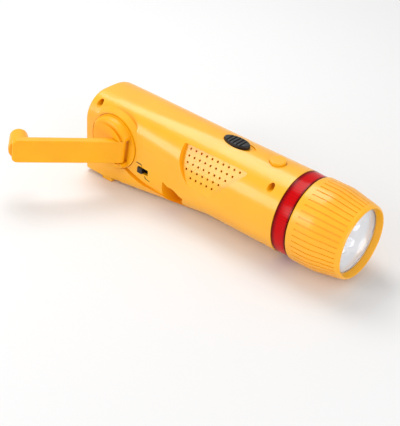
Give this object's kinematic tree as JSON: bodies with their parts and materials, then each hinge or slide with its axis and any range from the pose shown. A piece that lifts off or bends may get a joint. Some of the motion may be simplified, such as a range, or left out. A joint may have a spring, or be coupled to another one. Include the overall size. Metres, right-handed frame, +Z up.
{
  "type": "hand crank flashlight",
  "caption": "Barrel torch with a fold-out winding crank on its side, speaker grille, slide switches, red warning ring and ribbed lamp head.",
  "frame": {"origin": "on the barrel axis, in the flat tail end face", "axes": "+X along the barrel from the tail to the lens, +Z up towards the slide switch and button, crank on the -Y side"},
  "size_m": [0.2172, 0.1133, 0.0555],
  "materials": {
    "housing_yellow": "semi-gloss moulded plastic",
    "crank_yellow": "semi-gloss moulded plastic",
    "ring_red": "clear red tinted plastic",
    "switch_black": "fine textured plastic",
    "lens_clear": "clear polished",
    "reflector_silver": "vacuum metallised",
    "led_white": "clear epoxy",
    "led_red": "clear red epoxy",
    "screw_steel": "zinc plated",
    "gear_white": "moulded acetal",
    "board_green": "solder mask",
    "board_white": "solder mask",
    "can_steel": "plain steel",
    "coil_copper": "enamelled wire",
    "magnet_dark": "sintered",
    "cell_wrap": "shrink sleeve",
    "speaker_black": "black coated",
    "cone_paper": "pressed paper"
  },
  "bodies": {
    "housing": {"battery_cells": "cell_wrap", "battery_tray": "switch_black", "case_screws": "screw_steel", "crank_side_shell": "housing_yellow", "flasher_board": "board_green", "flasher_leds": "led_red", "gear_plate": "can_steel", "generator_can": "can_steel", "head_bezel": "housing_yellow", "head_leds": "led_white", "head_lens": "lens_clear", "idler_pin": "screw_steel", "led_board": "board_white", "main_board": "board_green", "plain_side_shell": "housing_yellow", "plate_screws": "screw_steel", "power_switch_body": "switch_black", "reflector": "reflector_silver", "selector_switch_body": "switch_black", "speaker_basket": "speaker_black", "speaker_cone": "cone_paper", "stator_coils": "coil_copper", "tact_switch": "switch_black", "warning_ring": "ring_red"},
    "crank": {"crank_hub": "crank_yellow", "hinge_pin": "screw_steel", "crank_gear": "gear_white", "hub_screw": "screw_steel"},
    "arm": {"crank_arm": "crank_yellow", "knob_post": "screw_steel"},
    "knob": {"crank_knob": "crank_yellow"},
    "idler": {"idler_gear": "gear_white"},
    "rotor": {"rotor_pinion": "gear_white", "rotor_shaft": "screw_steel", "rotor_magnet": "magnet_dark"},
    "slider": {"power_slider": "switch_black"},
    "button": {"lamp_button": "housing_yellow"},
    "selector": {"selector_knob": "switch_black"}
  },
  "joints": [
    {"name": "crank_spin", "type": "hinge", "parent": "housing", "child": "crank", "pos_m": [0.0248, 0, 0.0049], "axis": [0, -1, 0], "continuous": true},
    {"name": "arm_fold", "type": "hinge", "parent": "crank", "child": "arm", "pos_m": [0.03492, -0.0302, 0.00366], "axis": [0.1219, 0, 0.9925], "range_deg": [-52.5, 122.5]},
    {"name": "knob_spin", "type": "hinge", "parent": "arm", "child": "knob", "pos_m": [-0.00344, -0.08058, 0.00837], "axis": [0.7874, -0.6088, -0.0967], "continuous": true},
    {"name": "idler_spin", "type": "hinge", "parent": "housing", "child": "idler", "pos_m": [0.04485, 0, -0.00081], "axis": [0, -1, 0], "continuous": true},
    {"name": "rotor_spin", "type": "hinge", "parent": "housing", "child": "rotor", "pos_m": [0.06152, 0, 0.00881], "axis": [0, -1, 0], "continuous": true},
    {"name": "power_slide", "type": "slide", "parent": "housing", "child": "slider", "axis": [1, 0, 0], "range_m": [0, 0.004]},
    {"name": "button_push", "type": "slide", "parent": "housing", "child": "button", "axis": [0, 0, -1], "range_m": [0, 0.0012], "stiffness_N_per_m": 300, "springref_m": -0.002},
    {"name": "selector_slide", "type": "slide", "parent": "housing", "child": "selector", "axis": [1, 0, 0], "range_m": [0, 0.004]}
  ],
  "couplings": [
    {"joint": "idler_spin", "follows": "crank_spin", "ratio": -3.3333},
    {"joint": "rotor_spin", "follows": "crank_spin", "ratio": 10}
  ]
}
